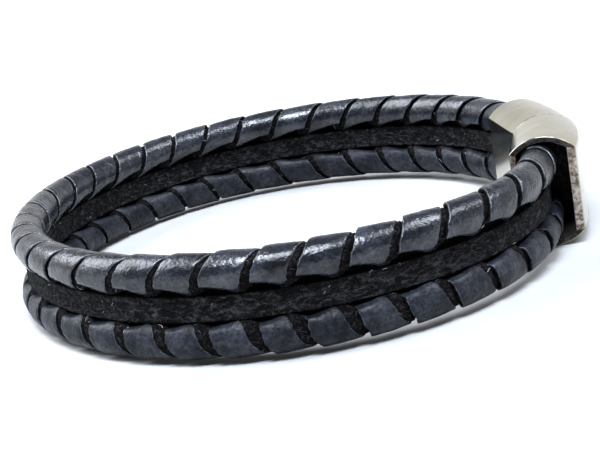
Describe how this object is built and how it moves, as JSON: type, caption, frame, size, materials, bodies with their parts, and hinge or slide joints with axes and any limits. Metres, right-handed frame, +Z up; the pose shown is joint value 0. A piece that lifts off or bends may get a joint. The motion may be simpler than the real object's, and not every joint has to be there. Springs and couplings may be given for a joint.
{
  "type": "braided leather bracelet",
  "caption": "Closed leather band with lace-wrapped cords along both edges, a raw suede strip between them and a two-part arched steel clasp; it rests on its edge with the wrist opening up.",
  "frame": {"origin": "middle of the bracelet's outline on the surface that it rests on", "axes": "+Z up through the wrist opening; +X from the middle of the loop towards the clasp; +Y across the loop, along the clasp towards its far half"},
  "size_m": [0.0705, 0.0775, 0.0132],
  "materials": {
    "lace_leather": "slate blue-grey drum-dyed leather lace with a soft waxed gloss and small grain creases",
    "raw_leather": "charcoal raw suede with fibres lying along the band",
    "polished_steel": "mirror-polished stainless steel"
  },
  "bodies": {
    "root": {"centre_strip": "raw_leather", "upper_core": "raw_leather", "lower_core": "raw_leather", "upper_lace": "lace_leather", "lower_lace": "lace_leather", "clasp_near_half": "polished_steel", "clasp_far_half": "polished_steel"}
  },
  "joints": []
}
